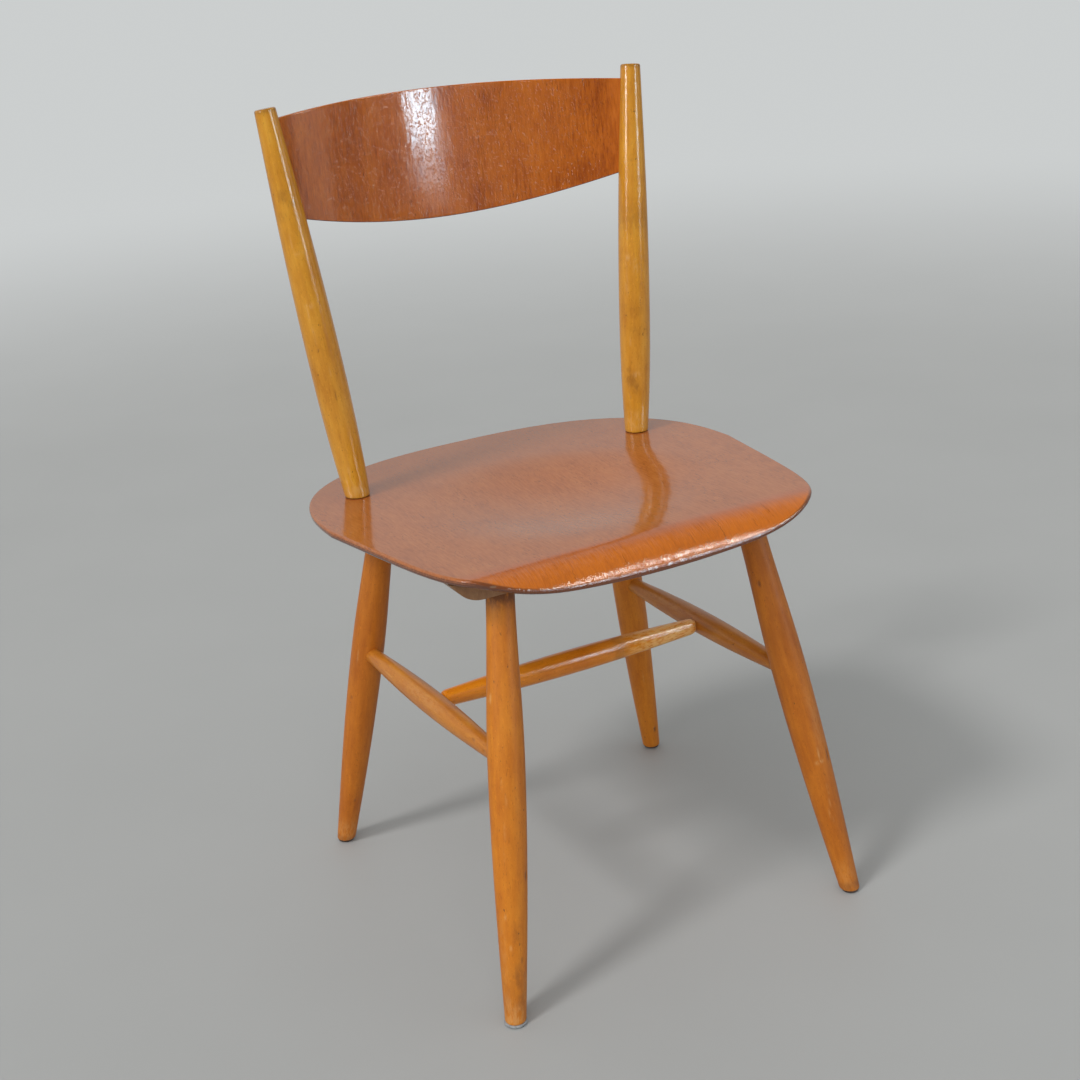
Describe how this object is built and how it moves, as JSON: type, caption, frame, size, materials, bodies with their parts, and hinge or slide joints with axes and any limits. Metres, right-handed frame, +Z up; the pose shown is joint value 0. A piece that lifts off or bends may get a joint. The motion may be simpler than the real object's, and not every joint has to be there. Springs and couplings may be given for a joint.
{
  "type": "wooden dining chair",
  "caption": "Worn wooden side chair with a dished plywood seat, splayed turned legs, an H of stretchers and a curved back panel between turned posts.",
  "frame": {"origin": "on the floor, at the centre of the chair's outline seen from above", "axes": "+Z up, -Y towards the chair's front, +X to the right as seen from the front"},
  "size_m": [0.453, 0.4344, 0.7926],
  "materials": {
    "seat_veneer": "glossy varnish, worn, reddish-brown veneer over plywood",
    "panel_veneer": "glossy varnish, reddish-brown veneer over plywood",
    "turned_beech": "yellowed glossy varnish over beech, scratched and worn at the feet",
    "cleat_beech": "thin varnish over plain beech",
    "screw_steel": "dull, slightly tarnished steel",
    "dark_glide": "dark worn plastic",
    "grey_glide": "grey plastic"
  },
  "bodies": {
    "root": {"seat": "seat_veneer", "front_cleat": "cleat_beech", "rear_cleat": "cleat_beech", "front_cleat_screws": "screw_steel", "rear_cleat_screws": "screw_steel", "front_left_leg": "turned_beech", "front_right_leg": "turned_beech", "rear_left_leg": "turned_beech", "rear_right_leg": "turned_beech", "left_side_stretcher": "turned_beech", "right_side_stretcher": "turned_beech", "cross_stretcher": "turned_beech", "left_back_post": "turned_beech", "right_back_post": "turned_beech", "back_panel": "panel_veneer", "front_left_glide": "grey_glide", "front_right_glide": "dark_glide", "rear_left_glide": "dark_glide", "rear_right_glide": "dark_glide"}
  },
  "joints": []
}
